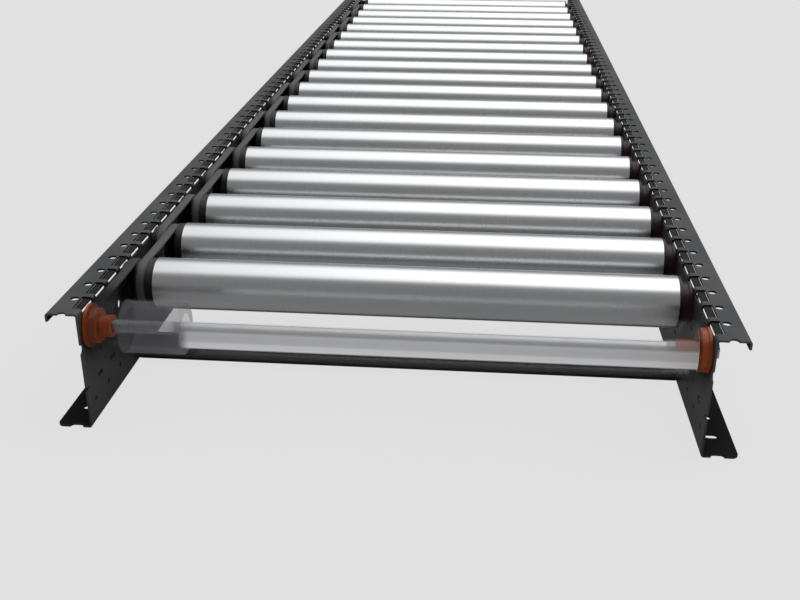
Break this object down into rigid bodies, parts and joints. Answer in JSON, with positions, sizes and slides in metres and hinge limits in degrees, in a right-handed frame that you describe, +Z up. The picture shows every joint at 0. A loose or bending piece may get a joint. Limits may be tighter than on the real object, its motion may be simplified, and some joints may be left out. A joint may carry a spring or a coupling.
{
  "type": "roller conveyor section",
  "caption": "Straight roller conveyor section: steel rollers in punched side frames, linked roller to roller by ribbed belts.",
  "frame": {"origin": "floor plane, under the centre of the footprint", "axes": "+X across the track towards the undriven side, +Y along the track away from the near end, +Z up"},
  "size_m": [0.611, 2, 0.1174],
  "materials": {
    "dark_painted_sheet": "satin powder coat",
    "black_painted_tube": "satin powder coat",
    "black_plastic": "moulded, fine grain",
    "orange_plastic": "moulded, semi-gloss",
    "galvanised_tube": "zinc plated, finely brushed",
    "clear_tube": "clear, polished",
    "shaft_steel": "bright drawn bar",
    "bearing_steel": "ground",
    "zinc_steel": "zinc plated",
    "belt_rubber": "matt, slightly dusty"
  },
  "bodies": {
    "frame": {"left_side_frame": "dark_painted_sheet", "right_side_frame": "dark_painted_sheet", "left_window_plugs": "black_plastic", "right_window_plugs": "black_plastic", "cross_members": "black_painted_tube", "cross_member_end_nuts": "zinc_steel", "left_cross_screws": "zinc_steel", "right_cross_screws": "zinc_steel", "shafts": "shaft_steel", "bearing_inner_rings": "bearing_steel", "left_shaft_holders": "orange_plastic", "right_shaft_holders": "orange_plastic", "left_shaft_washers": "zinc_steel", "right_shaft_washers": "zinc_steel", "left_shaft_screws": "zinc_steel", "right_shaft_screws": "zinc_steel", "outer_track_belts": "belt_rubber", "inner_track_belts": "belt_rubber"},
    "roller_01": {"roller_01_tube": "clear_tube", "roller_01_ends": "black_plastic"},
    "roller_02": {"roller_02_tube": "galvanised_tube", "roller_02_ends": "black_plastic"},
    "roller_03": {"roller_03_tube": "galvanised_tube", "roller_03_ends": "black_plastic"},
    "roller_04": {"roller_04_tube": "galvanised_tube", "roller_04_ends": "black_plastic"},
    "roller_05": {"roller_05_tube": "galvanised_tube", "roller_05_ends": "black_plastic"},
    "roller_06": {"roller_06_tube": "galvanised_tube", "roller_06_ends": "black_plastic"},
    "roller_07": {"roller_07_tube": "galvanised_tube", "roller_07_ends": "black_plastic"},
    "roller_08": {"roller_08_tube": "galvanised_tube", "roller_08_ends": "black_plastic"},
    "roller_09": {"roller_09_tube": "galvanised_tube", "roller_09_ends": "black_plastic"},
    "roller_10": {"roller_10_tube": "galvanised_tube", "roller_10_ends": "black_plastic"},
    "roller_11": {"roller_11_tube": "galvanised_tube", "roller_11_ends": "black_plastic"},
    "roller_12": {"roller_12_tube": "galvanised_tube", "roller_12_ends": "black_plastic"},
    "roller_13": {"roller_13_tube": "galvanised_tube", "roller_13_ends": "black_plastic"},
    "roller_14": {"roller_14_tube": "galvanised_tube", "roller_14_ends": "black_plastic"},
    "roller_15": {"roller_15_tube": "galvanised_tube", "roller_15_ends": "black_plastic"},
    "roller_16": {"roller_16_tube": "galvanised_tube", "roller_16_ends": "black_plastic"},
    "roller_17": {"roller_17_tube": "galvanised_tube", "roller_17_ends": "black_plastic"},
    "roller_18": {"roller_18_tube": "galvanised_tube", "roller_18_ends": "black_plastic"},
    "roller_19": {"roller_19_tube": "galvanised_tube", "roller_19_ends": "black_plastic"},
    "roller_20": {"roller_20_tube": "galvanised_tube", "roller_20_ends": "black_plastic"}
  },
  "joints": [
    {"name": "roller_01_spin", "type": "hinge", "parent": "frame", "child": "roller_01", "pos_m": [0, -0.975, 0.0924], "axis": [1, 0, 0], "continuous": true},
    {"name": "roller_02_spin", "type": "hinge", "parent": "frame", "child": "roller_02", "pos_m": [0, -0.875, 0.0924], "axis": [1, 0, 0], "continuous": true},
    {"name": "roller_03_spin", "type": "hinge", "parent": "frame", "child": "roller_03", "pos_m": [0, -0.775, 0.0924], "axis": [1, 0, 0], "continuous": true},
    {"name": "roller_04_spin", "type": "hinge", "parent": "frame", "child": "roller_04", "pos_m": [0, -0.675, 0.0924], "axis": [1, 0, 0], "continuous": true},
    {"name": "roller_05_spin", "type": "hinge", "parent": "frame", "child": "roller_05", "pos_m": [0, -0.575, 0.0924], "axis": [1, 0, 0], "continuous": true},
    {"name": "roller_06_spin", "type": "hinge", "parent": "frame", "child": "roller_06", "pos_m": [0, -0.475, 0.0924], "axis": [1, 0, 0], "continuous": true},
    {"name": "roller_07_spin", "type": "hinge", "parent": "frame", "child": "roller_07", "pos_m": [0, -0.375, 0.0924], "axis": [1, 0, 0], "continuous": true},
    {"name": "roller_08_spin", "type": "hinge", "parent": "frame", "child": "roller_08", "pos_m": [0, -0.275, 0.0924], "axis": [1, 0, 0], "continuous": true},
    {"name": "roller_09_spin", "type": "hinge", "parent": "frame", "child": "roller_09", "pos_m": [0, -0.175, 0.0924], "axis": [1, 0, 0], "continuous": true},
    {"name": "roller_10_spin", "type": "hinge", "parent": "frame", "child": "roller_10", "pos_m": [0, -0.075, 0.0924], "axis": [1, 0, 0], "continuous": true},
    {"name": "roller_11_spin", "type": "hinge", "parent": "frame", "child": "roller_11", "pos_m": [0, 0.025, 0.0924], "axis": [1, 0, 0], "continuous": true},
    {"name": "roller_12_spin", "type": "hinge", "parent": "frame", "child": "roller_12", "pos_m": [0, 0.125, 0.0924], "axis": [1, 0, 0], "continuous": true},
    {"name": "roller_13_spin", "type": "hinge", "parent": "frame", "child": "roller_13", "pos_m": [0, 0.225, 0.0924], "axis": [1, 0, 0], "continuous": true},
    {"name": "roller_14_spin", "type": "hinge", "parent": "frame", "child": "roller_14", "pos_m": [0, 0.325, 0.0924], "axis": [1, 0, 0], "continuous": true},
    {"name": "roller_15_spin", "type": "hinge", "parent": "frame", "child": "roller_15", "pos_m": [0, 0.425, 0.0924], "axis": [1, 0, 0], "continuous": true},
    {"name": "roller_16_spin", "type": "hinge", "parent": "frame", "child": "roller_16", "pos_m": [0, 0.525, 0.0924], "axis": [1, 0, 0], "continuous": true},
    {"name": "roller_17_spin", "type": "hinge", "parent": "frame", "child": "roller_17", "pos_m": [0, 0.625, 0.0924], "axis": [1, 0, 0], "continuous": true},
    {"name": "roller_18_spin", "type": "hinge", "parent": "frame", "child": "roller_18", "pos_m": [0, 0.725, 0.0924], "axis": [1, 0, 0], "continuous": true},
    {"name": "roller_19_spin", "type": "hinge", "parent": "frame", "child": "roller_19", "pos_m": [0, 0.825, 0.0924], "axis": [1, 0, 0], "continuous": true},
    {"name": "roller_20_spin", "type": "hinge", "parent": "frame", "child": "roller_20", "pos_m": [0, 0.925, 0.0924], "axis": [1, 0, 0], "continuous": true}
  ],
  "couplings": [
    {"joint": "roller_02_spin", "follows": "roller_01_spin", "ratio": 1},
    {"joint": "roller_03_spin", "follows": "roller_01_spin", "ratio": 1},
    {"joint": "roller_04_spin", "follows": "roller_01_spin", "ratio": 1},
    {"joint": "roller_05_spin", "follows": "roller_01_spin", "ratio": 1},
    {"joint": "roller_06_spin", "follows": "roller_01_spin", "ratio": 1},
    {"joint": "roller_07_spin", "follows": "roller_01_spin", "ratio": 1},
    {"joint": "roller_08_spin", "follows": "roller_01_spin", "ratio": 1},
    {"joint": "roller_09_spin", "follows": "roller_01_spin", "ratio": 1},
    {"joint": "roller_10_spin", "follows": "roller_01_spin", "ratio": 1},
    {"joint": "roller_11_spin", "follows": "roller_01_spin", "ratio": 1},
    {"joint": "roller_12_spin", "follows": "roller_01_spin", "ratio": 1},
    {"joint": "roller_13_spin", "follows": "roller_01_spin", "ratio": 1},
    {"joint": "roller_14_spin", "follows": "roller_01_spin", "ratio": 1},
    {"joint": "roller_15_spin", "follows": "roller_01_spin", "ratio": 1},
    {"joint": "roller_16_spin", "follows": "roller_01_spin", "ratio": 1},
    {"joint": "roller_17_spin", "follows": "roller_01_spin", "ratio": 1},
    {"joint": "roller_18_spin", "follows": "roller_01_spin", "ratio": 1},
    {"joint": "roller_19_spin", "follows": "roller_01_spin", "ratio": 1},
    {"joint": "roller_20_spin", "follows": "roller_01_spin", "ratio": 1}
  ]
}
